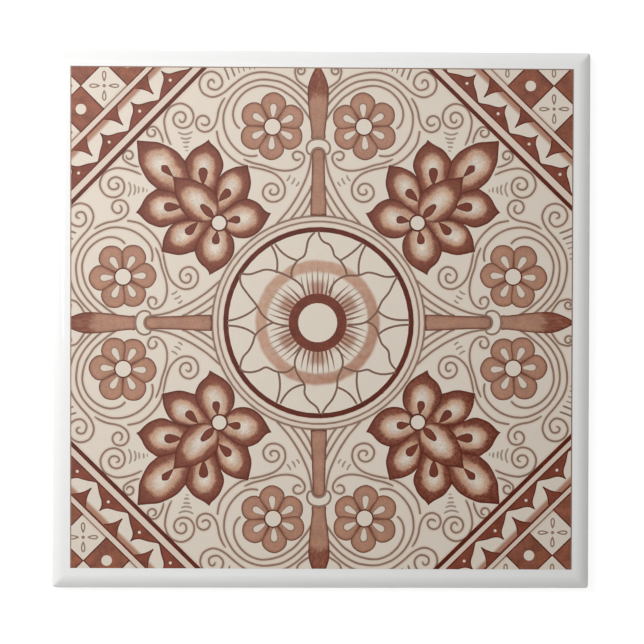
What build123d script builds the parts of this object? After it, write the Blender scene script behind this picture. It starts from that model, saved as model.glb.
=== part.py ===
"""A square printed wall tile, pressed and fired in one piece, with a cushioned rim and a keyed back.

The tile lies on its back. Its origin is the middle of the back, +Z points out of the printed face
and +Y is the top of the print. All sizes are millimetres.
"""

from build123d import *
import os

# Overall size of the pressed body
tile_side = 152.4
tile_thickness = 6.4

# Cushioned rim: the glazed face falls away in one long arc, then turns down over a small lip
crown_width = 3.4
crown_drop = 1.3
lip_radius = 1.0

# Corners in plan, and the mitres where two sides of the rim meet
corner_radius = 0.85

# Arris all round the back, left by the press
back_bevel = 0.6

# Key on the back: square sunk cells between raised ribs, inside a plain margin
key_margin = 7.0
key_cell = 11.5
key_rib = 2.5
key_depth = 0.8
key_draft_angle = 20

half_side = tile_side / 2
lip_height = tile_thickness - crown_drop
crown_radius = (crown_width**2 + crown_drop**2) / (2 * crown_drop)
# A corner can't be rounder than the lip that it runs over
corner_fillet = min(corner_radius, 0.95 * lip_radius)
key_pitch = key_cell + key_rib
key_count = int((tile_side - 2 * key_margin + key_rib) // key_pitch)


def rim_section(plane):
    """The tile cut square across its middle: bevelled back, upright edges, cushioned face."""
    with BuildSketch(plane) as section:
        with BuildLine():
            back = Line((0, 0), (half_side - back_bevel, 0))
            bevel = Line(back @ 1, (half_side, back_bevel))
            edge = Line(bevel @ 1, (half_side, lip_height))
            crown = RadiusArc(edge @ 1, (half_side - crown_width, tile_thickness), -crown_radius)
            Line(crown @ 1, (0, tile_thickness))
            mirror(about=Plane.YZ)
        make_face()
        lip_corners = section.vertices().group_by(Axis.Y)[-2]
        fillet(lip_corners, radius=lip_radius)
    return section.sketch


with BuildPart() as tile:
    # The two sections crossed give the four cushioned sides, with a mitre at each corner
    extrude(rim_section(Plane.XZ), amount=half_side, both=True)
    extrude(rim_section(Plane.YZ), amount=half_side, both=True, mode=Mode.INTERSECT)

    # Each corner is rounded in one run, from the back bevel up the edge, over the lip and along the mitre
    for corner_axis in (Axis((0, 0, 0), (1, 1, 0)), Axis((0, 0, 0), (1, -1, 0))):
        along = tile.edges().sort_by(corner_axis)
        fillet(along[:4] + along[-4:], radius=corner_fillet)

    # The key is pressed into the back, its walls leaning outwards to leave the die
    with BuildSketch():
        with GridLocations(key_pitch, key_pitch, key_count, key_count):
            Rectangle(key_cell, key_cell)
    extrude(amount=key_depth, taper=key_draft_angle, mode=Mode.SUBTRACT)

tile.part.label = "tile"

os.makedirs("parts", exist_ok=True)
export_step(tile.part, "parts/tile.step")
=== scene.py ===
"""A square transferware wall tile: a white glazed body with a cushioned rim, and a brown print on its face.

Three operators glaze the pressed body, lay the transfer print on it and set the studio round it. The print
is drawn in millimetres in a frame of its own, with its middle at (0, 0) and its top towards +Y. Most of it is
one eighth of the pattern, the one between the top arm and the corner on the right, turned and mirrored eight
times. Everything that reaches Blender is in metres.
"""

import math

import bpy
import numpy as np
from bpy.props import FloatProperty, FloatVectorProperty, PointerProperty
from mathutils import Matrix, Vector
from mathutils.geometry import delaunay_2d_cdt


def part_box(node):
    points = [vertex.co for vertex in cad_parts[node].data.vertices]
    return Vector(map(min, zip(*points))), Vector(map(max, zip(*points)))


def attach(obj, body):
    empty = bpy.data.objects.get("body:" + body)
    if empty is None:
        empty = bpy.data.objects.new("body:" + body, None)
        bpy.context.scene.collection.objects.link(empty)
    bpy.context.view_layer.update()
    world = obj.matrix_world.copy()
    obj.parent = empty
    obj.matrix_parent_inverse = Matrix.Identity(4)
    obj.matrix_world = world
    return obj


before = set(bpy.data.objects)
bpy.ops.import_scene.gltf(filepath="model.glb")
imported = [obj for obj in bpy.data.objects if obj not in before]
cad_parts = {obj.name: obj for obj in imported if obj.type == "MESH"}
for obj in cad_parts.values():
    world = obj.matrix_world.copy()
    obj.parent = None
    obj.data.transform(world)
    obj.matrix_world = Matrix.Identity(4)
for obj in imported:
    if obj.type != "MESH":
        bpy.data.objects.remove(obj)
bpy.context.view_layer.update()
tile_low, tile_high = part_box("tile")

bl_info = {
    "name": "Transferware Tile",
    "version": (1, 0, 0),
    "blender": (4, 5, 0),
    "location": "View3D > Sidebar > Tile",
    "description": "Glazes a pressed wall tile, lays its transfer print and lights it",
    "category": "Object",
}

MM = 0.001


# Sizes and colours that a user may change

def paint(red, green, blue):
    """A screen colour, 0 to 255, as the linear colour that the nodes take."""
    steps = (channel / 255 for channel in (red, green, blue))
    return tuple(s / 12.92 if s <= 0.04045 else ((s + 0.055) / 1.055) ** 2.4 for s in steps)


def colour(name, description, red, green, blue):
    return FloatVectorProperty(
        name=name, description=description, subtype="COLOR", size=3, min=0, max=1,
        default=paint(red, green, blue),
    )


def length(name, description, millimetres, least=0):
    return FloatProperty(
        name=name, description=description, unit="LENGTH", precision=5, min=least * MM,
        default=millimetres * MM,
    )


def amount(name, description, value):
    return FloatProperty(name=name, description=description, min=0, default=value)


class TileGlaze(bpy.types.PropertyGroup):
    """The body's two finishes, and where one stops."""

    white: colour("White glaze", "Colour of the glazed face and rim", 232, 232, 231)
    biscuit: colour("Biscuit", "Colour of the unglazed back and lower edges", 214, 200, 176)
    glaze_line: length("Glaze line", "Height on the edge to which the glaze ran down", 3.6)
    glaze_wander: length("Glaze wander", "How far the glaze line strays up and down", 0.7)
    ripple: length("Ripple", "Depth of the glaze's slow ripple", 0.012)


class TilePrint(bpy.types.PropertyGroup):
    """The print: where it lies, how thick its lines are, and its inks."""

    film_rise: length("Film rise", "Height of the print above the glazed face", 0.05)
    hem_depth: length("Hem", "Depth of the print's border, which goes down into the glaze", 0.15)
    centre_x: length("Centre X", "Place of the print's middle across the tile", -0.97, least=-10)
    centre_y: length("Centre Y", "Place of the print's middle up the tile", -0.90, least=-10)
    turn: FloatProperty(
        name="Turn", description="How far the print was laid out of square", unit="ROTATION",
        default=math.radians(0.265),
    )
    scroll_line: length("Scroll line", "Width of the scrolls and arcs", 0.60)
    tick_line: length("Tick line", "Width of the short shading strokes", 0.58)
    bleed: length("Bleed", "How far the ink of a line bled into the ground on each side", 0.40)
    hairline: length("Hairline", "Width of the line along the print's border", 0.32)

    ground: colour("Ground", "Cream ground of the print", 214, 203, 189)
    bleed_tone: colour("Bleed tone", "Ground beside a line, which took a little of its ink", 210, 193, 178)
    line: colour("Line ink", "Thin engraved lines", 138, 113, 97)
    dark: colour("Dark ink", "Ring round the middle, edges of the petals", 90, 36, 23)
    solid: colour("Solid ink", "Bands and chequer squares", 122, 64, 49)
    petal_core: colour("Petal core", "Palest part of a petal", 210, 198, 184)
    petal_mid: colour("Petal middle", "Half tone of a petal", 186, 147, 122)
    petal_rim: colour("Petal rim", "Dark border tone of a petal", 131, 77, 61)
    wash: colour("Wash", "Flat half tone of the florets and arms", 165, 118, 95)
    peach: colour("Peach wash", "Loose wash round the rosette", 183, 143, 120)


class TileStudio(bpy.types.PropertyGroup):
    """The lens, the lamp and the light of the room."""

    lens: amount("Lens", "Focal length in millimetres", 150)
    lamp_power: amount("Lamp power", "Softbox at the upper left, in watts", 2.1)
    room: amount("Room light", "Even light of the room", 0.03)
    horizon: amount("Horizon light", "Extra light of the pale walls, low down all round", 1.15)
    card: amount("Card", "Light of the pale card over the tile's upper left, which its glaze mirrors", 1.2)


# Lines and outlines

def smooth(points, step=0.7, bend=20):
    """Points on a smooth line through the given ones, closer together where it bends."""
    p = np.array(points, float)
    if len(p) < 3:
        return p
    leg = np.diff(p, axis=0)
    pace = np.sqrt(np.linalg.norm(leg, axis=1))
    speed = leg / pace[:, None]
    before, after = pace[:-1, None], pace[1:, None]
    inner = (speed[:-1] * after + speed[1:] * before) / (before + after)
    heading = np.vstack([2 * speed[0] - inner[0], inner, 2 * speed[-1] - inner[-1]])
    drawn = []
    for i, gap in enumerate(pace):
        a, b = heading[i] * gap, heading[i + 1] * gap
        turn = abs(math.degrees(math.atan2(a[0] * b[1] - a[1] * b[0], a @ b)))
        count = max(1, math.ceil(gap**2 / step), math.ceil(turn / bend))
        u = np.arange(count)[:, None] / count
        drawn.append(
            p[i] * (1 + 2 * u) * (1 - u) ** 2 + a * u * (1 - u) ** 2
            + p[i + 1] * u**2 * (3 - 2 * u) - b * u**2 * (1 - u)
        )
    return np.vstack(drawn + [p[-1:]])


def turned_drop(side, degrees, centre):
    """A closed drop from one of its sides, turned and moved to its place."""
    half = smooth(side, 0.6)
    loop = np.vstack([half, (half * (1, -1))[-2:0:-1]])
    return loop @ rotation(math.radians(degrees)) + centre


def outline(*edges):
    """A closed outline from smooth edges that meet at corners."""
    return np.vstack([smooth(edge)[:-1] for edge in edges])


def mirrored(points):
    """The same points on the other side of the diagonal."""
    return [(y, x) for x, y in points]


def rotation(angle):
    """The matrix that turns rows of points anticlockwise."""
    return np.array([[math.cos(angle), math.sin(angle)], [-math.sin(angle), math.cos(angle)]])


def circle(radius, centre=(0, 0), count=0):
    """A closed circle, of more points the larger it is unless a count is given."""
    angles = np.radians(np.arange(0, 360, 360 / (count or max(16, round(9 * math.sqrt(radius) + 6)))))
    return np.column_stack([np.cos(angles), np.sin(angles)]) * radius + centre


def coil(centre, first, quarters, clockwise=False):
    """Points of a spiral round a centre, one for each eighth of a turn, from the radius at each quarter."""
    start = math.atan2(first[1] - centre[1], first[0] - centre[0])
    way = -1 if clockwise else 1
    steps = np.arange(0.5, len(quarters) - 0.99, 0.5)
    radii = np.interp(steps, np.arange(len(quarters)), quarters)
    angles = start + way * steps * math.pi / 2
    return [
        (centre[0] + r * math.cos(a), centre[1] + r * math.sin(a)) for r, a in zip(radii, angles)
    ]


def stroke(line, width, tips=(0.4, 0.4), taper=1.6):
    """A pen stroke along a line: full width on the way and thinner at its tips."""
    ahead = np.gradient(line, axis=0)
    ahead /= np.linalg.norm(ahead, axis=1)[:, None]
    side = np.column_stack([-ahead[:, 1], ahead[:, 0]])
    run = np.append(0, np.cumsum(np.linalg.norm(np.diff(line, axis=0), axis=1)))
    press = np.minimum(tips[0] + run / taper, tips[1] + (run[-1] - run) / taper).clip(0, 1)
    half = side * (width / 2 * press)[:, None]
    return np.vstack([line + half, (line - half)[::-1]])


def distance(points, loop):
    """How far each point is from a closed outline."""
    start = loop[None]
    leg = np.roll(loop, -1, axis=0)[None] - start
    away = points[:, None] - start
    along = ((away * leg).sum(2) / (leg**2).sum(2).clip(1e-9)).clip(0, 1)
    return np.linalg.norm(away - leg * along[..., None], axis=2).min(1)


def area(loop):
    """Area inside a closed loop, below zero where it runs clockwise."""
    x, y = loop[:, 0], loop[:, 1]
    return 0.5 * (x @ np.roll(y, -1) - y @ np.roll(x, -1))


def inset(loop, depth):
    """A loop that runs inside an outline at a depth, without the folds at its tips."""
    ahead = np.roll(loop, -1, axis=0) - np.roll(loop, 1, axis=0)
    ahead /= np.linalg.norm(ahead, axis=1)[:, None]
    side = np.column_stack([-ahead[:, 1], ahead[:, 0]]) * math.copysign(depth, area(loop))
    moved = loop + side
    return moved[distance(moved, loop) > 0.96 * depth]


def turns(*signs):
    """Copies of a motif, each a matrix that turns or mirrors it to its place."""
    return [np.array(sign, float) for sign in signs]


PLAIN = turns([[1, 0], [0, 1]])
QUARTERS = turns(*([[x, 0], [0, y]] for x in (1, -1) for y in (1, -1)))
EIGHTHS = QUARTERS + turns(*([[0, x], [y, 0]] for x in (1, -1) for y in (1, -1)))
ARMS = turns([[1, 0], [0, 1]], [[1, 0], [0, -1]], [[0, 1], [1, 0]], [[0, -1], [1, 0]])


class Drawing:
    """The motifs of the print in the order that they are painted, each over those before it."""

    def __init__(self):
        self.loops = []
        self.owners = []
        self.motifs = []

    def fill(self, loop, ink, copies=PLAIN, core=(0, 0, 0, 1, 1), edges=()):
        """Paints an outline. Its core, an ellipse, and its edge depths give the ink its place to fade."""
        rings = [loop] + [ring for ring in (inset(loop, depth) for depth in edges) if len(ring) > 5]
        for copy in copies:
            for ring in rings:
                turned = ring @ copy.T
                self.loops.append(turned if area(turned) > 0 else turned[::-1])
                self.owners.append(len(self.motifs))
            self.motifs.append((ink, copy, core, loop if edges else None))

    def rule(self, points, width, copies=PLAIN, ink="line", tips=(0.4, 0.4), taper=1.6):
        """Draws a line through points."""
        self.fill(stroke(smooth(points), width, tips, taper), ink, copies)


# The pattern

# How the printed sheet stretched and sheared as it was laid, and its corners on the tile
PRINT_STRETCH = (0.99786, 1.00214)
PRINT_SHEAR = -0.00114
PRINT_CORNERS = ((-71.43, 71.42), (-70.95, -70.51), (71.26, -70.76), (71.26, 71.47))

# Each scroll: its stem, the centre of its coil, the coil's radius at each quarter turn, and whether
# it turns clockwise
SCROLLS = (
    (((41.7, 50.1), (42.8, 52.5), (43.5, 55.2), (43.6, 57.6)), (38.8, 57.6),
     (4.8, 4.3, 3.4, 2.6, 2.3, 1.9, 1.15, 1.0, 0.5), False),
    (((44.0, 50.7), (44.4, 52.5), (45.3, 54.3)), (47.2, 53.8), (1.95, 1.5, 1.35, 1.25, 0.95, 0.6), True),
    (((26.4, 63.6), (27.5, 61.9), (28.3, 59.8), (28.7, 57.6), (29.4, 55.7), (30.7, 54.3), (32.5, 53.9)),
     (32.6, 56.6), (2.7, 2.05, 1.9, 1.7, 0.75, 0.55), False),
    (((21.3, 46.3), (18.6, 45.15), (15.5, 44.4), (12.5, 43.4), (9.5, 42.95), (7.0, 43.3), (5.0, 44.4),
      (4.0, 46.1)), (5.8, 47.0), (2.0, 1.35, 1.55, 1.15, 0.8), True),
    (((19.9, 44.1), (17.5, 43.7), (15.0, 43.1), (12.3, 42.0), (10.4, 40.2), (9.5, 38.1)), (12.9, 37.1),
     (3.55, 3.0, 2.95, 2.35, 1.7, 0.95, 0.9, 0.6), False),
    (((2.4, 65.9), (3.3, 66.6), (4.7, 67.5), (6.0, 68.7), (6.4, 70.0), (6.6, 71.0)), (5.0, 71.2),
     (1.6, 1.408, 1.217, 1.025, 0.833, 0.642, 0.45), False),
    (((2.4, 63.8), (3.3, 64.8), (4.9, 66.4), (7.0, 68.1), (9.2, 69.4), (12.0, 70.3), (15.4, 70.8),
      (18.4, 70.5), (20.8, 69.6), (23.8, 67.5), (26.6, 65.1), (28.4, 64.1), (30.3, 63.75)), (30.2, 67.5),
     (3.75, 3.5, 3.45, 3.0, 1.5, 1.05, 1.15, 0.6), False),
)

ARCS = (
    # beside the arm
    ((2.0, 47.6), (2.15, 46.0), (2.5, 44.0), (3.05, 42.0), (3.85, 40.0), (4.8, 37.95), (5.85, 35.9),
     (7.1, 33.9), (8.5, 31.85), (10.1, 29.95), (12.2, 27.6)),
    ((1.95, 38.8), (2.4, 37.5), (3.4, 35.8), (4.6, 33.8), (6.0, 31.7), (7.65, 29.6), (8.7, 28.5)),
    ((2.05, 35.2), (2.5, 33.8), (3.5, 31.95), (4.7, 30.2), (5.3, 29.5)),
    # round the floret
    ((17.2, 47.3), (19.2, 47.05), (21.4, 47.6), (23.6, 49.3), (25.4, 51.6), (26.5, 54.2), (26.9, 56.5),
     (26.85, 58.8), (26.3, 60.7), (25.3, 62.8), (24.05, 64.6), (22.6, 66.0), (20.7, 67.3), (18.8, 68.1),
     (16.9, 68.6), (15.0, 68.7), (13.1, 68.5), (11.0, 68.1), (9.0, 67.2), (7.0, 65.9), (5.2, 64.3),
     (3.4, 62.4), (2.2, 60.8)),
    ((22.2, 54.8), (23.4, 56.0), (24.1, 57.9), (24.1, 59.9), (23.55, 61.6), (22.65, 63.2), (21.4, 64.6),
     (20.0, 65.7), (18.3, 66.5), (16.5, 66.95), (14.5, 66.9), (12.5, 66.5), (10.5, 65.8), (8.7, 64.7),
     (7.0, 63.5), (4.7, 60.9), (3.6, 59.5), (2.8, 58.3), (2.0, 57.0)),
    ((28.8, 54.3), (28.6, 52.8), (28.0, 50.6), (26.5, 48.4), (24.1, 46.1), (21.7, 44.7), (20.1, 44.3)),
)

# Short shading strokes, by their ink
TICKS = {
    "pale line": (
        # under the large scroll
        ((35.6, 54.0), (37.7, 53.2), (39.8, 53.8)),
        ((36.0, 52.4), (37.6, 51.9), (39.1, 52.3)),
        ((36.5, 51.1), (37.5, 50.9), (38.5, 50.95)),
        ((36.8, 49.8), (37.5, 49.65), (38.3, 49.7)),
        ((36.9, 48.65), (37.8, 48.6)),
        # beside the arm
        ((8.0, 41.8), (8.4, 40.8), (9.1, 40.0)),
        ((6.7, 41.0), (7.0, 40.0), (7.7, 39.1)),
        ((5.5, 39.9), (5.8, 39.2), (6.4, 38.6)),
    ),
    "line": (
        # along the print's edge
        ((26.9, 72.6), (26.1, 70.9), (25.3, 68.6)),
        ((24.9, 72.8), (24.2, 71.0), (23.6, 69.5)),
        ((23.0, 72.8), (22.3, 70.5)),
        ((21.5, 72.8), (20.95, 71.0)),
        ((19.8, 72.8), (19.3, 71.5)),
        ((18.3, 72.8), (18.0, 71.6)),
    ),
}

# One side of the arm, from the ring to the tip of its spearhead
ARM_SHAFT = ((2.3, 30.2), (2.25, 34.0), (2.05, 38.0), (1.9, 42.0), (1.8, 46.0), (1.8, 47.8), (1.6, 48.4),
             (1.1, 49.0), (0.0, 49.3))
ARM_COLLAR = ((1.8, 48.2), (2.2, 47.7), (2.8, 47.8), (3.25, 48.6), (3.35, 49.6), (3.0, 50.6), (2.2, 51.4),
              (1.1, 51.8), (0.0, 51.95))
ARM_COLLAR_CUP = ((1.8, 48.2), (1.5, 48.8), (0.9, 49.25), (0.0, 49.45))
ARM_SPEAR = ((0.0, 52.0), (2.0, 52.0), (2.0, 53.5), (2.25, 56.0), (2.65, 59.0), (2.9, 62.0), (3.02, 64.3),
             (2.98, 66.2), (2.6, 68.0), (2.0, 69.6), (1.4, 70.9), (0.8, 72.0), (0.0, 73.0))
# Height from which the spearhead is brushed dark
ARM_TIP_HEIGHT = 63.8

FLORET = (13.0, 55.4)
# The angle of each lobe and its share of the full length
FLORET_LOBES = ((93, 1.0), (32, 1.0), (-28, 1.0), (-87, 0.97), (-150, 0.95), (-206, 0.97))
# Dark ground under the lobes, and the pale disc in its dark ring
FLORET_GROUNDING = 6.4
FLORET_DISC = (2.6, 2.22)
LOBE_SIDE = ((0.0, 0.0), (2.5, 1.45), (4.2, 2.6), (5.4, 3.35), (6.3, 3.62), (7.3, 3.5), (8.3, 2.95),
             (9.1, 2.05), (9.65, 0.9), (9.8, 0.0))
LOBE_DROP = ((2.7, 0.0), (3.2, 0.4), (4.5, 0.75), (5.5, 0.88), (6.15, 0.62), (6.45, 0.0))
LOBE_HALO = ((2.4, 0.0), (2.9, 0.75), (4.4, 1.25), (5.6, 1.42), (6.6, 1.05), (7.05, 0.0))

FLOWER = (28.2, 28.2)
FLOWER_DISC = (2.5, 1.98)
# Each petal: one edge from the tip to the foot, the other edge back to the tip or none where it is the
# first one mirrored, the pale core, and whether a mirrored twin belongs to it. A core is its centre,
# its direction in degrees, its half length and its half width.
PETALS = (
    (((51.4, 51.5), (48.0, 51.2), (45.6, 51.0), (43.4, 50.2), (41.4, 49.2), (39.7, 48.0), (38.6, 46.7),
      (37.8, 45.7), (36.5, 42.0), (36.0, 36.0)), None, (45.0, 45.0, 45, 4.3, 4.0), False),
    (((31.1, 51.8), (31.9, 51.1), (33.3, 50.2), (34.7, 49.5), (36.1, 48.4), (37.1, 47.0), (37.8, 45.9),
      (37.7, 44.0), (37.2, 42.0), (36.5, 40.0)),
     ((36.5, 40.0), (32.0, 32.0), (28.8, 38.5), (28.2, 40.6), (27.4, 42.5), (27.0, 43.6), (26.9, 45.0),
      (27.4, 46.7), (28.2, 48.4), (29.4, 49.8), (30.5, 50.8), (31.1, 51.8)),
     (32.5, 44.3, 90, 3.7, 3.35), True),
    (((20.0, 44.6), (21.2, 44.3), (23.2, 44.1), (24.9, 43.5), (26.3, 42.8), (27.1, 42.2), (28.4, 40.6),
      (29.1, 38.3), (29.1, 36.1), (29.3, 34.5), (29.5, 32.0), (28.2, 28.2)),
     ((28.2, 28.2), (24.0, 31.0), (21.0, 33.5), (20.1, 35.2), (19.8, 36.4), (19.3, 38.0), (19.1, 39.7),
      (19.4, 41.7), (19.8, 43.4), (20.0, 44.6)), (24.6, 38.7, 122, 3.6, 3.05), True),
    (((13.4, 31.0), (14.5, 31.3), (15.4, 32.0), (16.2, 33.0), (17.3, 34.0), (18.7, 34.7), (20.1, 35.1),
      (21.8, 34.9), (23.2, 34.4), (26.0, 32.4), (28.0, 30.8)),
     ((28.0, 30.8), (28.2, 28.2), (26.3, 26.6), (25.2, 25.2), (23.8, 24.2), (21.8, 23.8), (19.8, 24.0),
      (17.9, 24.9), (16.2, 26.4), (15.1, 28.0), (14.2, 29.6), (13.4, 31.0)),
     (21.1, 29.5, 168, 3.8, 3.5), True),
    (((41.4, 41.4), (40.0, 41.1), (38.7, 40.9), (37.3, 40.8), (36.0, 40.5), (34.7, 40.2), (33.9, 39.7),
      (32.1, 39.1), (31.2, 38.4), (30.4, 37.7), (29.5, 36.9), (28.9, 36.0), (28.5, 34.9), (28.3, 33.0),
      (28.6, 31.0), (28.9, 30.0), (28.2, 28.2)), None, (34.5, 34.5, 45, 5.0, 3.4), False),
)
# The dark drop on each petal, as a closed outline, in the same order, and whether it has a twin
PETAL_MARKS = (
    (((41.3, 41.3), (42.2, 43.2), (42.9, 44.3), (43.9, 44.4), (44.3, 44.3), (44.4, 43.9), (44.3, 42.9),
      (43.2, 42.2), (41.3, 41.3)), False),
    (((32.7, 39.2), (33.3, 40.2), (33.7, 41.4), (33.9, 42.3), (33.6, 43.3), (32.7, 43.65), (31.8, 43.3),
      (31.5, 42.3), (31.7, 41.4), (32.1, 40.2), (32.7, 39.2)), True),
    (((28.2, 34.3), (27.7, 35.9), (27.1, 36.9), (26.4, 37.7), (25.4, 37.6), (24.9, 36.9), (25.0, 36.0),
      (25.7, 35.4), (26.8, 34.9), (28.2, 34.3)), True),
    (((25.9, 28.7), (24.9, 29.4), (24.0, 30.0), (23.2, 30.1), (22.5, 29.8), (22.3, 29.1), (22.5, 28.4),
      (23.3, 28.1), (24.4, 28.3), (25.9, 28.7)), True),
    (((29.8, 30.2), (30.4, 31.8), (31.2, 32.6), (32.2, 33.2), (32.8, 33.4), (33.2, 33.2), (33.4, 32.8),
      (33.2, 32.2), (32.6, 31.2), (31.8, 30.4), (30.2, 29.8), (29.8, 30.2)), False),
)
# How much the ink of the drops spread
MARK_SPREAD = 1.12
# Spots of dark ink under the petals, where their feet part
PETAL_GROUNDING = ((4.2, FLOWER, QUARTERS), (1.3, (29.2, 36.9), EIGHTHS))

# Distances out along the diagonal and across it, both as sums of the two coordinates
BAND_LINE = (103.15, 104.85)
BAND = (107.2, 118.8)
BAND_EDGE = 0.5
CHEQUER_LINE = (120.75, 121.35)
LEAF_PITCH = 17.4
# Half of a pair of leaves: its outline, edge by edge, from the middle of the pair
LEAF = (
    ((107.9, 0.0), (108.1, 0.6), (110.1, 3.6), (112.4, 7.4), (115.3, 8.7)),
    ((115.3, 8.7), (117.9, 8.7)),
    ((117.9, 8.7), (117.9, 3.6)),
    ((117.9, 3.6), (117.4, 3.05), (116.2, 2.1), (114.6, 1.15), (113.0, 0.5), (111.0, 0.0)),
    ((111.0, 0.0), (107.9, 0.0)),
)
# A dot between the pairs: how far out it is, and its radius
LEAF_DOT = (110.2, 0.43)
# Where a leaf's half tone begins and ends, out along the diagonal from the band's inner edge
LEAF_SHADE = (5.6, 6.8)
# Edges of the leaves that the engraver drew round, and the line's width
LEAF_DRAWN = (0, 3)
EDGE_LINE = 0.32
# The chequer: side of a square, where the first row starts, how far the dark squares' ink overlaps
# and how wide their dark edge is, and the dot on those of the first row
SQUARE = 13.2
SQUARE_START = 120.85
SQUARE_OVERLAP = 0.12
SQUARE_EDGE = 0.4
SQUARE_DOT = 1.5
# The hollow drops on the pale squares, four round a spot
LOOP_DROP = ((1.1, 0.0), (1.8, 0.4), (3.1, 0.65), (3.9, 0.5), (4.3, 0.0))
LOOP_HOLLOW = ((1.9, 0.0), (2.4, 0.18), (3.1, 0.27), (3.6, 0.2), (3.85, 0.0))
LOOP_MIDDLE = 0.5
# How the line, the leaf band and the chequer lie at each corner, in the order of QUARTERS:
# shift out along the diagonal, shift across it, and lean
CORNER_LAY = (
    ((0.05, 0.0, -0.013), (0.25, -0.7, -0.015), (0.15, -0.05, -0.010)),
    ((-0.40, 0.0, -0.015), (-0.9, 0.1, -0.015), (-1.4, -0.4, -0.020)),
    ((0.05, 0.0, 0.005), (0.1, 0.4, 0.005), (0.05, -0.35, 0.0)),
    ((-0.10, 0.0, -0.007), (-0.05, -0.45, -0.007), (-0.15, 0.25, -0.003)),
)
LINE_LAY, BAND_LAY, CHEQUER_LAY = range(3)

ROSETTE = (-0.25, 0.0)
ROSETTE_CORE = (*ROSETTE, 0, 1, 1)
# Radius of the pale disc in its middle, and of the dark ring round that
ROSETTE_RING = (5.55, 8.3)
# Radius and width of the rings round the middle
RINGS = ((30.2, 0.60), (28.65, 0.56), (26.35, 1.45))
ROSETTE_LINES = (
    ((-7.6, 12.6), (-7.5, 15.0), (-6.0, 17.5), (-4.0, 19.0), (-3.4, 21.0), (-2.8, 23.5), (-1.0, 25.5)),
    ((8.0, 13.5), (7.5, 15.5), (6.0, 17.7), (4.5, 19.0), (4.1, 20.5), (3.2, 22.0), (1.3, 23.0), (0.3, 24.5),
     (0.1, 25.9)),
    ((-4.0, 8.4), (-4.2, 9.2), (-5.3, 10.9), (-7.6, 12.6), (-12.0, 14.5), (-15.0, 15.0), (-19.5, 13.7),
     (-22.0, 14.0)),
    ((-8.4, -0.9), (-11.1, -0.5), (-13.0, 0.1), (-15.9, 2.2), (-17.5, 4.8), (-20.0, 8.0), (-22.0, 11.0),
     (-22.2, 13.8)),
    ((3.0, 8.3), (3.3, 9.3), (4.8, 11.6), (7.6, 13.2), (11.5, 13.4), (14.0, 14.2), (16.0, 13.9), (19.0, 13.0),
     (22.0, 13.2)),
    ((8.2, -0.5), (12.0, -0.3), (14.0, 0.5), (16.5, 3.0), (18.0, 6.0), (20.0, 8.5), (21.5, 11.5),
     (22.5, 13.0)),
    ((13.4, 0.1), (14.8, -0.2), (16.3, -1.5), (17.2, -4.0), (18.0, -6.0), (19.8, -8.0), (20.3, -11.0),
     (22.0, -13.3)),
    ((22.0, -14.0), (18.0, -14.6), (15.5, -14.0), (14.0, -13.3), (11.0, -13.8), (8.0, -13.0),
     (6.5, -12.2)),
    ((-4.7, -7.0), (-6.1, -9.0), (-6.8, -11.2), (-6.4, -13.6), (-5.2, -15.8), (-4.0, -17.6), (-4.0, -20.0),
     (-2.8, -22.0), (-0.5, -24.0), (0.2, -25.9)),
    ((5.2, -7.0), (6.4, -9.0), (6.9, -11.2), (6.4, -13.4), (5.4, -15.6), (5.2, -18.4), (4.0, -21.5),
     (2.0, -24.0), (0.9, -25.9)),
    ((-12.9, 0.0), (-14.2, -0.5), (-15.4, -1.2), (-17.9, -3.4), (-18.7, -5.7), (-19.8, -7.8), (-21.5, -9.8),
     (-22.3, -12.8)),
    ((-22.4, -12.7), (-21.6, -13.6), (-19.5, -14.0), (-17.0, -13.5), (-15.0, -12.6), (-12.0, -13.8),
     (-9.0, -13.9), (-7.0, -12.3)),
    # petals that show behind the six
    ((6.1, 17.6), (9.3, 19.6), (12.5, 22.6)),
    ((11.5, 13.5), (11.7, 18.0), (13.5, 22.0)),
    ((-5.9, 17.6), (-9.5, 19.2), (-12.3, 22.3)),
    ((-12.0, 14.0), (-11.8, 18.0), (-13.5, 22.0)),
    ((-17.5, 4.5), (-21.0, 2.0), (-26.0, 0.5)),
    ((-18.0, -3.4), (-21.0, -1.6), (-26.0, -0.8)),
    ((16.8, 3.4), (20.0, 1.3), (25.9, 0.8)),
    ((17.0, -3.4), (20.0, -1.5), (25.9, -0.6)),
    ((-4.2, -17.5), (-8.0, -19.0), (-10.9, -22.9)),
    ((-11.5, -14.0), (-11.0, -18.0), (-12.0, -22.6)),
    ((5.3, -18.3), (8.5, -20.0), (10.8, -23.0)),
    ((11.0, -14.0), (10.9, -18.0), (12.2, -22.5)),
)
ROSETTE_PETALS = (90, 30, -30, -90, -150, -210)
# Hatching of a petal: how far each stroke reaches along it, the turn from one stroke to the next in
# degrees, how much the strokes spread, how much each bows, their width, and how full their tips are
HATCH_REACH = (13.0, 14.4, 15.4, 16.2, 15.6, 14.4, 13.2)
HATCH_TURN = 8.0
HATCH_SPREAD = 1.4
HATCH_BOW = 0.06
HATCH_LINE = 0.56
HATCH_TIP = 0.32


def from_corner(*points):
    """Points given out along the diagonal and across it, as plain ones."""
    out, across = np.array(points, float).T
    return np.column_stack([out - across, out + across]) / 2


def band_strip(inner, outer, reach=60):
    """A strip across the corner, between two distances out along the diagonal."""
    return from_corner((inner, -reach), (outer, -reach), (outer, reach), (inner, reach))


def laid_corners(part, out):
    """The four quarters, each with what lies at a distance out in them moved to where it was laid."""
    outward = np.array([[0.5, -0.5], [0.5, 0.5]])
    copies = []
    for quarter, lays in zip(QUARTERS, CORNER_LAY):
        shift, across, lean = lays[part]
        skew = np.array([[1 + shift / out, lean], [across / out, 1]])
        copies.append(quarter @ outward @ skew @ np.linalg.inv(outward))
    return copies


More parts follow.
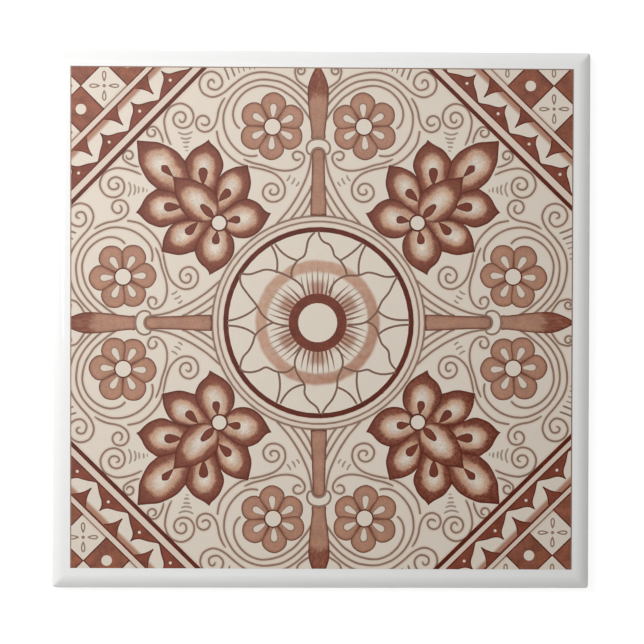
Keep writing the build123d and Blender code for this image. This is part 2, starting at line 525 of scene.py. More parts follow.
def print_frame(sizes):
    """The matrix and the shift that take the print's frame to the tile's, in millimetres."""
    shear = np.array([[1, 0], [PRINT_SHEAR, 1]])
    shift = np.array([sizes.centre_x, sizes.centre_y]) / MM
    return np.diag(PRINT_STRETCH) @ shear @ rotation(sizes.turn), shift


def print_place(points, sizes):
    """From the tile's frame back to the print's."""
    matrix, shift = print_frame(sizes)
    return (np.array(points) - shift) @ np.linalg.inv(matrix)


def draw_sheet(drawing, sizes):
    """The cream sheet, which is as large as the print."""
    drawing.fill(print_place(PRINT_CORNERS, sizes), "ground")


def draw_border(drawing, sizes):
    """A hairline inside the top and both sides of the sheet."""
    outer = np.array(PRINT_CORNERS)
    inner = outer + np.sign(outer.mean(0) - outer) * sizes.hairline / MM
    for a, b in ((0, 1), (3, 0), (2, 3)):
        drawing.fill(print_place([outer[a], outer[b], inner[b], inner[a]], sizes), "line")


def draw_scrolls(drawing, sizes):
    """The scrolls, arcs and ticks, and under them the ground that their ink bled into."""
    width = sizes.scroll_line / MM
    bleed = sizes.bleed / MM
    coils = [[*stem, *coil(centre, stem[-1], *way)] for stem, centre, *way in SCROLLS]
    radius, ring = RINGS[0]
    drawing.fill(circle(radius + ring / 2 + bleed), "bleed")
    strip = band_strip(BAND_LINE[0] - 2 * bleed, BAND[0] + 1)
    drawing.fill(strip, "bleed", laid_corners(LINE_LAY, BAND_LINE[0]))
    for line in (*coils, *ARCS):
        drawing.rule(line, width + 2 * bleed, EIGHTHS, "bleed", tips=(0.8, 0.8))
    for line in coils:
        drawing.rule(line, width, EIGHTHS)
    for line in ARCS:
        drawing.rule(line, width, EIGHTHS, tips=(0.8, 0.8))
    for ink, lines in TICKS.items():
        for line in lines:
            drawing.rule(line, sizes.tick_line / MM, EIGHTHS, ink, tips=(0.6, 0.6), taper=1.0)


def draw_corners(drawing, sizes):
    """The leaf band and the chequer across each corner."""
    chequers = laid_corners(CHEQUER_LAY, SQUARE_START)
    gap = band_strip(BAND[1] - 2, CHEQUER_LINE[1] + 2 * sizes.bleed / MM)
    drawing.fill(gap, "bleed", chequers)
    drawing.fill(band_strip(*CHEQUER_LINE), "line", chequers)
    drawing.fill(band_strip(*BAND_LINE), "dark", laid_corners(LINE_LAY, BAND_LINE[0]))
    draw_leaf_band(drawing, laid_corners(BAND_LAY, BAND[0]))
    for corner in chequers:
        top_left = corner[0, 0] < 0 < corner[1, 1]
        for row in (0, 1):
            for column in (-2, -1, 0, 1):
                out = SQUARE_START + SQUARE * (row + 0.5)
                across = SQUARE * (column + 0.5)
                if (row + column) % 2 == int(top_left):
                    draw_dark_square(drawing, out, across, row == 0, [corner])
                else:
                    draw_pale_square(drawing, out, across, [corner])


def draw_leaf_band(drawing, copies):
    """A dark band with pale leaves in mirrored pairs, their feet shaded, and a dot between the pairs."""
    inner, outer = BAND
    drawing.fill(band_strip(inner, outer), "dark", copies)
    drawing.fill(band_strip(inner + BAND_EDGE, outer - BAND_EDGE), "solid", copies)
    for pair in range(-2, 3):
        middle = pair * LEAF_PITCH
        core = (*from_corner((inner, middle))[0], 45, 1, 1)
        for side in (1, -1):
            edges = [from_corner(*((out, middle + side * across) for out, across in edge)) for edge in LEAF]
            drawing.fill(outline(*edges), "leaf", copies, core=core)
            for drawn in LEAF_DRAWN:
                drawing.rule(edges[drawn], EDGE_LINE, copies, "dark", (1, 1))
    out, radius = LEAF_DOT
    for place in range(-3, 3):
        centre = from_corner((out, (place + 0.5) * LEAF_PITCH))[0]
        drawing.fill(circle(radius, centre, 12), "ground", copies)


def draw_dark_square(drawing, out, across, dotted, copies):
    """A dark square of the chequer with a darker edge, and a pale dot on some."""
    sideways = from_corner((0, across))
    for ink, reach in (("dark", SQUARE / 2 + SQUARE_OVERLAP), ("chequer", SQUARE / 2 - SQUARE_EDGE)):
        drawing.fill(band_strip(out - reach, out + reach, reach) + sideways, ink, copies)
    if dotted:
        drawing.fill(circle(SQUARE_DOT, from_corner((out, across))[0], 20), "ground", copies)


def draw_pale_square(drawing, out, across, copies):
    """Four hollow drops round a small spot."""
    centre = from_corner((out, across))[0]
    for angle in (0, 90, 180, 270):
        drawing.fill(turned_drop(LOOP_DROP, angle, centre), "line", copies)
        drawing.fill(turned_drop(LOOP_HOLLOW, angle, centre), "ground", copies)
    drawing.fill(circle(LOOP_MIDDLE, centre, 8), "line", copies)


def draw_arms(drawing, sizes):
    """The four balusters, each a shaft, a cupped collar and a spearhead."""
    left = (-1, 1)
    for side in (ARM_SHAFT, ARM_SPEAR):
        half = smooth(side)
        drawing.fill(np.vstack([half, (half * left)[::-1]]), "arm", ARMS, edges=(0.45, 1.0))
    collar = smooth(ARM_COLLAR)
    hollow = smooth(ARM_COLLAR_CUP)
    ring = np.vstack([collar, (collar * left)[-2::-1]])
    cup = np.vstack([(hollow * left)[1:], hollow[-2:0:-1]])
    drawing.fill(np.vstack([ring, cup]), "ground", ARMS)
    for edge in (ring, np.vstack([ring[-1:], cup, ring[:1]])):
        drawing.fill(stroke(edge, sizes.scroll_line / MM, (1, 1)), "line", ARMS)


def draw_disc(drawing, centre, radii, copies):
    """A pale disc in a dark ring."""
    for radius, ink in zip(radii, ("dark", "ground")):
        drawing.fill(circle(radius, centre), ink, copies)


def draw_florets(drawing):
    """The eight florets, each of six lobes with a pale drop, round a disc."""
    drawing.fill(circle(FLORET_GROUNDING, FLORET), "dark", EIGHTHS)
    for degrees, reach in FLORET_LOBES:
        lobe = turned_drop(np.array(LOBE_SIDE) * (reach, 1), degrees, FLORET)
        drawing.fill(lobe, "floret", EIGHTHS, edges=(0.5, 1.1))
    for degrees, _ in FLORET_LOBES:
        drawing.fill(turned_drop(LOBE_HALO, degrees, FLORET), "halo", EIGHTHS, edges=(0.4,))
        drawing.fill(turned_drop(LOBE_DROP, degrees, FLORET), "pale drop", EIGHTHS)
    draw_disc(drawing, FLORET, FLORET_DISC, EIGHTHS)


def draw_flowers(drawing):
    """The four flowers on the diagonals, each of eight petals with a dark drop, round a disc."""
    for radius, centre, copies in PETAL_GROUNDING:
        drawing.fill(circle(radius, centre), "dark", copies)
    for edge, back, core, twins in PETALS:
        loop = outline(edge, back or mirrored(edge)[::-1])
        drawing.fill(loop, "petal", EIGHTHS if twins else QUARTERS, core=core, edges=(0.35, 0.8))
    for mark, twins in PETAL_MARKS:
        loop = smooth(mark, 0.6)[:-1]
        middle = loop.mean(0)
        spread = (loop - middle) * MARK_SPREAD + middle
        drawing.fill(spread, "mark", EIGHTHS if twins else QUARTERS, edges=(0.4,))
    draw_disc(drawing, FLOWER, FLOWER_DISC, QUARTERS)


def draw_roundel(drawing, sizes):
    """The rings round the middle and the rosette inside them."""
    bleed = sizes.bleed / MM
    for radius, width in RINGS[:2]:
        drawing.fill(circle(radius + width / 2), "line")
        drawing.fill(circle(radius - width / 2), "bleed")
    drawing.fill(circle(radius - width / 2 - bleed), "ground")
    radius, width = RINGS[2]
    drawing.fill(circle(radius + width / 2 + bleed), "bleed")
    drawing.fill(circle(radius + width / 2), "dark")
    drawing.fill(circle(radius - width / 2), "roundel", core=ROSETTE_CORE)
    draw_hatching(drawing)
    for line in ROSETTE_LINES:
        drawing.rule(line, sizes.scroll_line / MM, ink="dark line", tips=(0.85, 0.85))
    drawing.fill(circle(ROSETTE_RING[1], ROSETTE), "rosette")
    drawing.fill(circle(ROSETTE_RING[0], ROSETTE), "ground")


def draw_hatching(drawing):
    """Strokes that fan out from the rosette's ring along each of its petals."""
    for degrees in ROSETTE_PETALS:
        for place, reach in enumerate(HATCH_REACH, -(len(HATCH_REACH) // 2)):
            turn = math.radians(HATCH_TURN * place)
            foot = ROSETTE_RING[1] * np.array([math.cos(turn), math.sin(turn)])
            tip = np.array([reach, foot[1] * HATCH_SPREAD])
            middle = (foot + tip) / 2 + (0, HATCH_BOW * place)
            line = smooth(np.array([foot, middle, tip]) @ rotation(math.radians(degrees)) + ROSETTE)
            loop = stroke(line, HATCH_LINE, (1, HATCH_TIP), reach - foot[0])
            drawing.fill(loop, "hatch", core=ROSETTE_CORE)


# Laying the print

# Points of the cut that lie closer than this, in millimetres, become one
CUT_MERGE = 1e-4


def cut_print(drawing, sizes):
    """Cuts all the outlines through each other: flat triangles, with the motif that lies on top of each.

    The first outline is the sheet, and nothing is kept outside it.
    """
    matrix, shift = print_frame(sizes)
    points = []
    faces = []
    for loop in drawing.loops:
        faces.append(list(range(len(points), len(points) + len(loop))))
        points.extend(Vector(point) for point in loop @ matrix + shift)
    places, _, triangles, _, _, covers = delaunay_2d_cdt(points, [], faces, 1, CUT_MERGE)
    kept = []
    tops = []
    for triangle, cover in zip(triangles, covers):
        if 0 in cover:
            kept.append(triangle)
            tops.append(drawing.owners[max(cover)])
    return np.array([tuple(place) for place in places]), np.array(kept), np.array(tops)


def motif_places(drawing, places, triangles, tops, sizes):
    """For each corner of each triangle: its place in its motif's core, and its depth from the edge."""
    flat = print_place(places, sizes)
    values = np.zeros((len(triangles), 3, 3))
    order = np.argsort(tops, kind="stable")
    bounds = np.searchsorted(tops[order], np.arange(len(drawing.motifs) + 1))
    for number, (_, copy, core, edge) in enumerate(drawing.motifs):
        mine = order[bounds[number]:bounds[number + 1]]
        if not len(mine):
            continue
        corners = flat[triangles[mine]].reshape(-1, 2) @ np.linalg.inv(copy).T
        x, y, degrees, half_length, half_width = core
        local = (corners - (x, y)) @ rotation(-math.radians(degrees)) / (half_length, half_width)
        values[mine, :, :2] = local.reshape(-1, 3, 2)
        if edge is not None:
            values[mine, :, 2] = distance(corners, edge).reshape(-1, 3)
    return values.reshape(-1, 3)


def print_mesh(drawing, sizes, top, materials):
    """The flat mesh of the print, with its motif attribute and a slot for each ink."""
    places, triangles, tops = cut_print(drawing, sizes)
    used, corners = np.unique(triangles, return_inverse=True)
    mesh = bpy.data.meshes.new("transfer_print")
    mesh.from_pydata([(x * MM, y * MM, top) for x, y in places[used]], [], corners.reshape(-1, 3).tolist())
    attribute = mesh.attributes.new("motif", "FLOAT_VECTOR", "CORNER")
    values = motif_places(drawing, places, triangles, tops, sizes)
    attribute.data.foreach_set("vector", values.astype(np.float32).ravel())
    for material in materials.values():
        mesh.materials.append(material)
    inks = list(materials)
    slots = [inks.index(drawing.motifs[motif][0]) for motif in tops.tolist()]
    mesh.polygons.foreach_set("material_index", slots)
    return mesh


# Nodes

def new_node(tree, kind, settings=None, **inputs):
    """Adds a node. Its inputs are given by name, or by number as i0, i1 and so on."""
    made = tree.nodes.new(kind)
    for name, value in (settings or {}).items():
        setattr(made, name, value)
    for name, value in inputs.items():
        feed(tree, made.inputs[int(name[1:]) if name[1:].isdigit() else name], value)
    return made


def feed(tree, socket, value):
    """Links a socket to another, or sets it to a plain value or colour."""
    if isinstance(value, bpy.types.NodeSocket):
        tree.links.new(value, socket)
    elif socket.type == "RGBA":
        socket.default_value = (*value, 1.0)
    else:
        socket.default_value = value


def maths(tree, operation, a, b=0.0, c=0.0):
    return new_node(tree, "ShaderNodeMath", {"operation": operation}, i0=a, i1=b, i2=c).outputs[0]


def dot(tree, a, b):
    return new_node(tree, "ShaderNodeVectorMath", {"operation": "DOT_PRODUCT"}, i0=a, i1=b).outputs["Value"]


def fade(tree, value, start, end, low=0.0, high=1.0):
    """A smooth step from low to high as the value goes from start to end."""
    made = new_node(tree, "ShaderNodeMapRange", {"interpolation_type": "SMOOTHSTEP"}, i0=value, i1=start,
                    i2=end, i3=low, i4=high)
    return made.outputs[0]


def mixed(tree, factor, a, b):
    return new_node(tree, "ShaderNodeMix", {"data_type": "RGBA"}, i0=factor, i6=a, i7=b).outputs[2]


def object_place(tree):
    return new_node(tree, "ShaderNodeTexCoord").outputs["Object"]


def noise(tree, where, size, detail=2.0):
    """Soft noise from 0 to 1, whose blobs are about so many millimetres across."""
    return new_node(tree, "ShaderNodeTexNoise", Vector=where, Scale=1 / (size * MM), Detail=detail).outputs[0]


def wander(tree, where, size, detail=2.0):
    """The same noise, to both sides of zero."""
    return maths(tree, "SUBTRACT", noise(tree, where, size, detail), 0.5)


def ramp(tree, value, *stops):
    made = new_node(tree, "ShaderNodeValToRGB", i0=value)
    elements = made.color_ramp.elements
    while len(elements) < len(stops):
        elements.new(0.5)
    for element, (place, shade) in zip(elements, stops):
        element.position = place
        element.color = (*shade, 1.0)
    return made.outputs[0]


def blend(a, b, share):
    """A colour between two."""
    return tuple(one + (other - one) * share for one, other in zip(a, b))


def node_group(name, inputs, outputs):
    group = bpy.data.node_groups.new(name, "ShaderNodeTree")
    for label, kind, default in inputs:
        group.interface.new_socket(label, in_out="INPUT", socket_type=kind).default_value = default
    for label, kind in outputs:
        group.interface.new_socket(label, in_out="OUTPUT", socket_type=kind)
    return group, group.nodes.new("NodeGroupInput").outputs, group.nodes.new("NodeGroupOutput").inputs


def transfer_tone_group():
    """Mottle and stipple of ink that a tissue transfer leaves on a tile."""
    group, given, result = node_group(
        "Transfer tone",
        (("Colour", "NodeSocketColor", (0.5, 0.5, 0.5, 1)), ("Mottle", "NodeSocketFloat", 0.1),
         ("Stipple", "NodeSocketFloat", 0.1)),
        (("Colour", "NodeSocketColor"),),
    )
    where = object_place(group)
    tone = maths(group, "MULTIPLY_ADD", wander(group, where, 3.5, 3.0), given["Mottle"], 1.0)
    tone = maths(group, "MULTIPLY_ADD", wander(group, where, 0.45, 1.0), given["Stipple"], tone)
    patch = fade(group, noise(group, where, 2.6), 0.5, 0.72)
    warmth = maths(group, "MINIMUM", maths(group, "MULTIPLY", patch, given["Mottle"]), 1.0)
    warm = new_node(group, "ShaderNodeVectorMath", {"operation": "MULTIPLY"}, i0=given["Colour"],
                    i1=(1.14, 1.12, 0.92)).outputs[0]
    tinted = mixed(group, warmth, given["Colour"], warm)
    scaled = new_node(group, "ShaderNodeVectorMath", {"operation": "SCALE"}, i0=tinted, Scale=tone)
    feed(group, result["Colour"], scaled.outputs[0])
    return group


def glaze_skin_group():
    """Slow ripple and small pits of a fired glaze: a height for bump, and a roughness."""
    group, given, result = node_group(
        "Glaze skin",
        (("Ripple", "NodeSocketFloat", 1.0), ("Gloss", "NodeSocketFloat", 0.06)),
        (("Height", "NodeSocketFloat"), ("Roughness", "NodeSocketFloat")),
    )
    where = object_place(group)
    fine = noise(group, where, 2.2)
    height = maths(group, "MULTIPLY_ADD", fine, 0.12, noise(group, where, 14.0, 1.0))
    feed(group, result["Height"], maths(group, "MULTIPLY", height, given["Ripple"]))
    pitted = fade(group, fine, 0.35, 0.7, 0.0, 0.05)
    feed(group, result["Roughness"], maths(group, "ADD", pitted, given["Gloss"]))
    return group


def shared_group(make, name):
    """A node group that several materials use, made once."""
    return bpy.data.node_groups.get(name) or make()


def toned(tree, colour, mottle, stipple):
    """A colour with a transfer's mottle and stipple."""
    group = shared_group(transfer_tone_group, "Transfer tone")
    return new_node(tree, "ShaderNodeGroup", {"node_tree": group}, Colour=colour, Mottle=mottle,
                    Stipple=stipple).outputs["Colour"]


def glaze_skin(tree):
    """Height and roughness of the glaze."""
    group = shared_group(glaze_skin_group, "Glaze skin")
    return new_node(tree, "ShaderNodeGroup", {"node_tree": group}).outputs


GLAZE_IOR = 1.5


def new_material(name):
    material = bpy.data.materials.new(name)
    material.use_nodes = True
    return material, material.node_tree


def finish(tree, colour, roughness, height, ripple):
    """Gives the shader its colour, its roughness and a bump."""
    shader = tree.nodes["Principled BSDF"].inputs
    shader["IOR"].default_value = GLAZE_IOR
    feed(tree, shader["Base Color"], colour)
    feed(tree, shader["Roughness"], roughness)
    bump = new_node(tree, "ShaderNodeBump", Height=height, Distance=ripple, Strength=1.0)
    feed(tree, shader["Normal"], bump.outputs["Normal"])


# Inks

def motif_nodes(tree):
    """The motif attribute: place along and across the motif's core, and depth from its edge."""
    read = new_node(tree, "ShaderNodeAttribute", {"attribute_name": "motif"}).outputs["Vector"]
    return new_node(tree, "ShaderNodeSeparateXYZ", i0=read).outputs


def from_middle(tree, x, y):
    squares = [maths(tree, "MULTIPLY", side, side) for side in (x, y)]
    return maths(tree, "SQRT", maths(tree, "ADD", *squares))


def edged(tree, inks, tone, depth, start, end, share):
    """A tone that goes dark towards the motif's edge."""
    return mixed(tree, fade(tree, depth, start, end, share, 0.0), tone, inks.dark)


def petal_ink(tree, inks):
    """Pale core, half tone and dark rim, each with a ragged border, and a dark outline."""
    x, y, depth = motif_nodes(tree)
    footward = maths(tree, "MAXIMUM", x, maths(tree, "MULTIPLY", x, -0.5))
    out = from_middle(tree, footward, y)
    where = object_place(tree)
    grain = wander(tree, where, 0.5, 1.0)
    waver = wander(tree, where, 2.6, 1.0)
    ragged = maths(tree, "MULTIPLY_ADD", waver, 0.4, maths(tree, "MULTIPLY_ADD", grain, 0.24, out))
    tone = ramp(
        tree, maths(tree, "MULTIPLY", ragged, 0.5),
        (0.08, inks.petal_core),
        (0.20, blend(inks.petal_core, inks.petal_mid, 0.3)),
        (0.33, blend(inks.petal_core, inks.petal_mid, 0.85)),
        (0.41, inks.petal_mid),
        (0.47, blend(inks.petal_mid, inks.petal_rim, 0.6)),
        (0.54, inks.petal_rim),
        (0.82, blend(inks.petal_rim, inks.dark, 0.4)),
    )
    blotch = fade(tree, noise(tree, where, 0.75), 0.4, 0.6)
    heavier = fade(tree, dot(tree, where, (1, -1, 0)), -0.02, 0.1, 0.22, 0.6)
    rim = fade(tree, ragged, 0.85, 1.1)
    heavier = maths(tree, "MULTIPLY", maths(tree, "MULTIPLY", blotch, heavier), rim)
    tone = mixed(tree, heavier, tone, inks.dark)
    return edged(tree, inks, tone, maths(tree, "MULTIPLY_ADD", grain, 0.6, depth), 0.05, 0.95, 0.85)


def lobe_wash(inks):
    return blend(inks.wash, inks.ground, 0.06)


def floret_ink(tree, inks):
    depth = motif_nodes(tree)[2]
    wash = edged(tree, inks, lobe_wash(inks), depth, 0.4, 1.2, 0.22)
    return edged(tree, inks, wash, depth, 0.1, 0.6, 0.72)


def mark_ink(tree, inks):
    drop = blend(inks.solid, inks.dark, 0.22)
    return edged(tree, inks, drop, motif_nodes(tree)[2], 0.0, 0.6, 0.8)


def halo_ink(tree, inks):
    """The lobe's own wash, which turns to a line beside the pale drop."""
    near = fade(tree, motif_nodes(tree)[2], 0.0, 0.45, 0.0, 0.8)
    return mixed(tree, near, lobe_wash(inks), blend(inks.line, inks.dark, 0.1))


def arm_ink(tree, inks):
    """A flat wash, brushed darker in streaks at the spearhead's tip."""
    x, y, depth = motif_nodes(tree)
    place = dot(tree, object_place(tree), (0.15, 0.37, 0))
    along = new_node(tree, "ShaderNodeCombineXYZ", i0=maths(tree, "MULTIPLY", x, MM),
                     i1=maths(tree, "MULTIPLY", y, 0.2 * MM), i2=place)
    streak = wander(tree, along.outputs[0], 0.6)
    arched = maths(tree, "MULTIPLY_ADD", maths(tree, "MULTIPLY", x, x), 0.16, y)
    ragged = maths(tree, "MULTIPLY_ADD", streak, 6.0, arched)
    tip = fade(tree, ragged, ARM_TIP_HEIGHT - 0.4, ARM_TIP_HEIGHT + 1.6, 0.0, 0.9)
    brushed = mixed(tree, fade(tree, streak, -0.1, 0.18), blend(inks.solid, inks.dark, 0.15),
                    blend(inks.solid, inks.wash, 0.35))
    wash = mixed(tree, tip, blend(inks.wash, inks.ground, 0.08), brushed)
    shade = edged(tree, inks, wash, depth, 0.3, 1.4, 0.3)
    return edged(tree, inks, shade, depth, 0.1, 0.6, 0.8)


def leaf_ink(tree, inks):
    """The ground, with a half tone over the leaf's foot."""
    return mixed(tree, fade(tree, motif_nodes(tree)[0], *LEAF_SHADE, 0.0, 0.95), inks.ground, inks.wash)


def roundel_ink(tree, inks):
    """The ground inside the rings, with a loose ring of wash and a tint near the rosette's middle."""
    x, y, _ = motif_nodes(tree)
    out = from_middle(tree, x, y)
    where = object_place(tree)
    wobble = wander(tree, where, 4.0)
    petals = maths(tree, "COSINE", maths(tree, "MULTIPLY_ADD", maths(tree, "ARCTAN2", y, x), 6.0, math.pi))
    reach = maths(tree, "MULTIPLY_ADD", wobble, 2.0, out)
    patch = maths(tree, "MULTIPLY", fade(tree, petals, -0.1, 0.8), fade(tree, reach, 10.8, 12.8, 0.8, 0.0))
    near = maths(tree, "MAXIMUM", patch, fade(tree, reach, 8.4, 10.6, 0.35, 0.0))
    lower_right = fade(tree, maths(tree, "SUBTRACT", x, y), -10.0, 20.0, 0.0, 0.8)
    radius = maths(tree, "MULTIPLY_ADD", wobble, 0.9, out)
    band = maths(tree, "MULTIPLY", fade(tree, radius, 13.8, 14.9), fade(tree, radius, 17.1, 18.2, 1.0, 0.0))
    cloud = fade(tree, noise(tree, where, 1.6, 3.0), 0.3, 0.7, 1.0, 0.82)
    tint = mixed(tree, near, inks.ground, inks.wash)
    return mixed(tree, maths(tree, "MULTIPLY", band, cloud), tint,
                 mixed(tree, lower_right, inks.peach, inks.wash))


def hatch_ink(tree, inks):
    """Dark strokes that pale on their way out."""
    x, y, _ = motif_nodes(tree)
    return mixed(tree, fade(tree, from_middle(tree, x, y), 8.5, 14.5), blend(inks.dark, inks.wash, 0.42),
                 blend(inks.line, inks.ground, 0.2))


def print_materials(inks, ripple):
    """One material for each ink of the print, by its name."""
    # Each ink: its colour, or the function that works it out, then its mottle and its stipple
    recipes = {
        "ground": (inks.ground, 0.04, 0.04),
        "bleed": (inks.bleed_tone, 0.05, 0.05),
        "pale line": (blend(inks.line, inks.ground, 0.22), 0.3, 0.2),
        "line": (inks.line, 0.4, 0.2),
        "dark line": (blend(inks.line, inks.dark, 0.45), 0.4, 0.3),
        "dark": (inks.dark, 1.0, 0.5),
        "solid": (inks.solid, 0.9, 0.7),
        "chequer": (blend(inks.solid, inks.wash, 0.22), 1.2, 0.7),
        "rosette": (blend(inks.solid, inks.dark, 0.45), 0.9, 0.7),
        "mark": (mark_ink, 0.4, 0.5),
        "petal": (petal_ink, 0.4, 0.6),
        "floret": (floret_ink, 0.4, 0.5),
        "halo": (halo_ink, 0.4, 0.5),
        "pale drop": (blend(inks.ground, inks.wash, 0.1), 0.05, 0.05),
        "arm": (arm_ink, 0.5, 0.5),
        "leaf": (leaf_ink, 0.05, 0.15),
        "roundel": (roundel_ink, 0.06, 0.08),
        "hatch": (hatch_ink, 0.2, 0.2),
    }
    made = {}
    for ink, (colour, mottle, stipple) in recipes.items():
        made[ink], tree = new_material(f"Print {ink}")
        shade = colour(tree, inks) if callable(colour) else colour
        skin = glaze_skin(tree)
        finish(tree, toned(tree, shade, mottle, stipple), skin["Roughness"], skin["Height"], ripple)
    return made


# Operators

# How soft the glaze's lower limit is, to each side
GLAZE_LIMIT = 0.15 * MM
BISCUIT_ROUGHNESS = 0.8

# How much of the bake's layout the print fills, and how far out its hem lies there
BAKE_SPAN = 0.97
BAKE_HEM = 1.012

FLOOR_SIDE = 6.0
# How far the floor reaches in under the tile's edges
FLOOR_REACH = 1.2 * MM
FLOOR_SHADE = paint(190, 190, 190)
# Light of the floor where it is seen, which lifts it to white outside the tile's shadow
FLOOR_GLOW = 0.82
LAMP_PLACE = (-0.242, 0.148, 0.385)
LAMP_SIDE = 0.25
# Direction of the pale card, and the angles from there at which its light begins to fall and ends
CARD_SIDE = (-0.16, 0.16, 1.0)
CARD_EDGE = (math.radians(5), math.radians(20.5))
CAMERA_PLACE = (-0.0226, 0.0020, 0.7665)
CAMERA_TURN = (-0.21, -1.702, 0.2426)
SENSOR_WIDTH = 36


def deselect():
    if bpy.context.mode != "OBJECT":
        bpy.ops.object.mode_set(mode="OBJECT")
    bpy.ops.object.select_all(action="DESELECT")


class TILE_OT_glaze_body(bpy.types.Operator):
    """Gives the pressed body its white glaze, and bare biscuit where the glaze stops"""

    bl_idname = "tile.glaze_body"
    bl_label = "Glaze the Body"

    def execute(self, context):
        sizes = context.scene.tile_glaze
        material, tree = new_material("White glaze over biscuit")
        where = object_place(tree)
        height = new_node(tree, "ShaderNodeSeparateXYZ", i0=where).outputs[2]
        height = maths(tree, "MULTIPLY_ADD", wander(tree, where, 9.0, 3.0), -4 * sizes.glaze_wander, height)
        glaze = fade(tree, height, sizes.glaze_line - GLAZE_LIMIT, sizes.glaze_line + GLAZE_LIMIT)
        skin = glaze_skin(tree)
        colour = mixed(tree, glaze, self.biscuit(tree, where, sizes), toned(tree, sizes.white, 0.025, 0.01))
        rough = new_node(tree, "ShaderNodeMix", {"data_type": "FLOAT"}, i0=glaze, i2=BISCUIT_ROUGHNESS,
                         i3=skin["Roughness"])
        grain = maths(tree, "MULTIPLY", noise(tree, where, 0.5), maths(tree, "SUBTRACT", 1.0, glaze))
        relief = maths(tree, "MULTIPLY_ADD", grain, 3.0, skin["Height"])
        finish(tree, colour, rough.outputs[0], relief, sizes.ripple)
        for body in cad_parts.values():
            for slot in body.material_slots:
                slot.material = material
        return {"FINISHED"}

    def biscuit(self, tree, where, sizes):
        """Fired clay, cloudy and with a few dark specks."""
        clay = mixed(tree, noise(tree, where, 12.0, 4.0), sizes.biscuit,
                     blend(sizes.biscuit, (0.35, 0.28, 0.2), 0.35))
        speck = fade(tree, noise(tree, where, 1.1), 0.66, 0.72, 0.0, 0.35)
        return mixed(tree, speck, clay, paint(120, 100, 80))


class TILE_OT_lay_print(bpy.types.Operator):
    """Draws the print and lays it on the glazed face as one thin film"""

    bl_idname = "tile.lay_print"
    bl_label = "Lay the Print"

    def execute(self, context):
        sizes = context.scene.tile_print
        drawing = Drawing()
        draw_sheet(drawing, sizes)
        draw_scrolls(drawing, sizes)
        draw_corners(drawing, sizes)
        draw_roundel(drawing, sizes)
        draw_arms(drawing, sizes)
        draw_florets(drawing)
        draw_flowers(drawing)
        draw_border(drawing, sizes)
        top = tile_high[2] + sizes.film_rise
        materials = print_materials(sizes, context.scene.tile_glaze.ripple)
        mesh = print_mesh(drawing, sizes, top, materials)
        piece = bpy.data.objects.new("transfer_print", mesh)
        context.scene.collection.objects.link(piece)
        self.turn_down_hem(context, piece, sizes.hem_depth)
        self.unwrap(mesh, top - sizes.hem_depth / 2)
        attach(piece, "root")
        return {"FINISHED"}

    def turn_down_hem(self, context, piece, depth):
        """The film's border is extruded down into the glaze."""
        deselect()
        piece.select_set(True)
        context.view_layer.objects.active = piece
        bpy.ops.object.mode_set(mode="EDIT")
        bpy.ops.mesh.select_mode(type="EDGE")
        bpy.ops.mesh.select_all(action="DESELECT")
        bpy.ops.mesh.select_non_manifold(extend=False, use_wire=False, use_boundary=True,
                                         use_multi_face=False, use_non_contiguous=False, use_verts=False)
        bpy.ops.mesh.extrude_region_move(TRANSFORM_OT_translate={"value": (0, 0, -depth)})
        deselect()

    def unwrap(self, mesh, hem_height):
        """A flat layout from above, with what lies below the hem's height just outside it."""
        layout = mesh.uv_layers.new(name="OFBake")
        corner = np.zeros(len(mesh.loops), np.int32)
        mesh.loops.foreach_get("vertex_index", corner)
        points = np.zeros(len(mesh.vertices) * 3, np.float32)
        mesh.vertices.foreach_get("co", points)
        points = points.reshape(-1, 3)[corner]
        low = points[:, :2].min(0)
        high = points[:, :2].max(0)
        flat = (points[:, :2] - (low + high) / 2) * BAKE_SPAN / (high - low).max()
        flat[points[:, 2] < hem_height] *= BAKE_HEM
        layout.data.foreach_set("uv", (flat + 0.5).astype(np.float32).ravel())


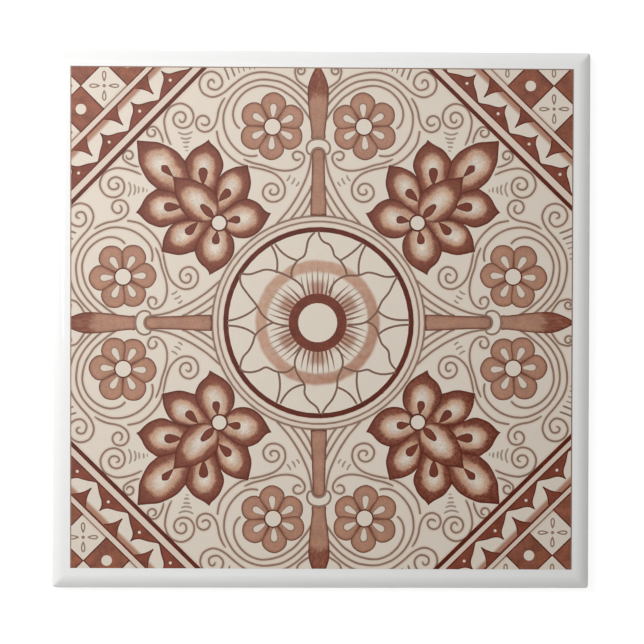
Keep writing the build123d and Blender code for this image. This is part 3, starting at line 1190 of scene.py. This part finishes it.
class TILE_OT_set_studio(bpy.types.Operator):
    """Pale floor, camera over the tile, one softbox at the upper left and the light of a pale room"""

    bl_idname = "tile.set_studio"
    bl_label = "Set the Studio"

    def execute(self, context):
        sizes = context.scene.tile_studio
        self.floor(context)
        self.softbox(context, sizes)
        self.camera(context, sizes)
        context.scene.world = self.room(sizes)
        context.scene.view_settings.view_transform = "Standard"
        return {"FINISHED"}

    def floor(self, context):
        """A wide floor, open under the tile so that light reaches the keyed back."""
        deselect()
        bpy.ops.mesh.primitive_plane_add(size=FLOOR_SIDE, location=(0, 0, tile_low[2]))
        floor = context.active_object
        floor.name = "floor"
        bpy.ops.object.mode_set(mode="EDIT")
        bpy.ops.mesh.select_all(action="SELECT")
        bpy.ops.mesh.inset(thickness=FLOOR_SIDE / 2 - tile_high[0] + FLOOR_REACH)
        bpy.ops.mesh.delete(type="FACE")
        deselect()
        material, tree = new_material("Pale floor")
        tree.nodes.remove(tree.nodes["Principled BSDF"])
        cloth = new_node(tree, "ShaderNodeBsdfDiffuse", Color=FLOOR_SHADE)
        seen = self.seen_by(tree, "Is Camera Ray", "Is Glossy Ray", "Is Transmission Ray")
        glow = new_node(tree, "ShaderNodeEmission", Color=(1, 1, 1),
                        Strength=maths(tree, "MULTIPLY", seen, FLOOR_GLOW))
        both = new_node(tree, "ShaderNodeAddShader", i0=cloth.outputs[0], i1=glow.outputs[0])
        feed(tree, tree.nodes["Material Output"].inputs["Surface"], both.outputs[0])
        floor.data.materials.append(material)

    def seen_by(self, tree, *rays):
        """One where a ray of one of these kinds meets the surface, and zero elsewhere."""
        path = new_node(tree, "ShaderNodeLightPath").outputs
        seen = path[rays[0]]
        for ray in rays[1:]:
            seen = maths(tree, "MAXIMUM", seen, path[ray])
        return seen

    def room(self, sizes):
        """An even room with pale walls low down and a soft pale card overhead, white to the camera."""
        world = bpy.data.worlds.new("Studio")
        world.use_nodes = True
        tree = world.node_tree
        where = new_node(tree, "ShaderNodeTexCoord").outputs["Generated"]
        angle = maths(tree, "ARCCOSINE", dot(tree, where, Vector(CARD_SIDE).normalized()))
        card = fade(tree, angle, *CARD_EDGE, sizes.card, 0.0)
        rise = maths(tree, "MAXIMUM", new_node(tree, "ShaderNodeSeparateXYZ", i0=where).outputs[2], 0.0)
        low = maths(tree, "POWER", maths(tree, "SUBTRACT", 1.0, rise), 2.0)
        level = maths(tree, "ADD", maths(tree, "MULTIPLY_ADD", low, sizes.horizon, sizes.room), card)
        light = tree.nodes["Background"].inputs
        feed(tree, light["Color"], (1, 1, 1))
        feed(tree, light["Strength"], maths(tree, "MAXIMUM", level, self.seen_by(tree, "Is Camera Ray")))
        return world

    def softbox(self, context, sizes):
        lamp = bpy.data.lights.new("softbox", "AREA")
        lamp.shape = "SQUARE"
        lamp.size = LAMP_SIDE
        lamp.energy = sizes.lamp_power
        holder = bpy.data.objects.new("softbox", lamp)
        holder.location = LAMP_PLACE
        holder.rotation_euler = (-holder.location).to_track_quat("-Z", "Y").to_euler()
        holder.visible_camera = False
        context.scene.collection.objects.link(holder)

    def camera(self, context, sizes):
        lens = bpy.data.cameras.new("camera")
        lens.lens = sizes.lens
        lens.sensor_width = SENSOR_WIDTH
        lens.clip_start = 0.01
        holder = bpy.data.objects.new("camera", lens)
        holder.location = CAMERA_PLACE
        holder.rotation_euler = [math.radians(angle) for angle in CAMERA_TURN]
        context.scene.collection.objects.link(holder)
        context.scene.camera = holder


class TILE_PT_panel(bpy.types.Panel):
    """Lists the tile's operators and their sizes"""

    bl_label = "Transferware Tile"
    bl_idname = "TILE_PT_panel"
    bl_space_type = "VIEW_3D"
    bl_region_type = "UI"
    bl_category = "Tile"

    def draw(self, context):
        for operator, name, _ in STEPS:
            box = self.layout.box()
            box.operator(operator.bl_idname)
            settings = getattr(context.scene, name)
            for size in type(settings).__annotations__:
                box.prop(settings, size)


STEPS = (
    (TILE_OT_glaze_body, "tile_glaze", TileGlaze),
    (TILE_OT_lay_print, "tile_print", TilePrint),
    (TILE_OT_set_studio, "tile_studio", TileStudio),
)


def register():
    for operator, name, group in STEPS:
        bpy.utils.register_class(group)
        setattr(bpy.types.Scene, name, PointerProperty(type=group))
        bpy.utils.register_class(operator)
    bpy.utils.register_class(TILE_PT_panel)


def unregister():
    bpy.utils.unregister_class(TILE_PT_panel)
    for operator, name, group in reversed(STEPS):
        bpy.utils.unregister_class(operator)
        delattr(bpy.types.Scene, name)
        bpy.utils.unregister_class(group)


def main():
    register()
    bpy.ops.tile.glaze_body()
    bpy.ops.tile.lay_print()
    bpy.ops.tile.set_studio()


if __name__ == "__main__":
    main()
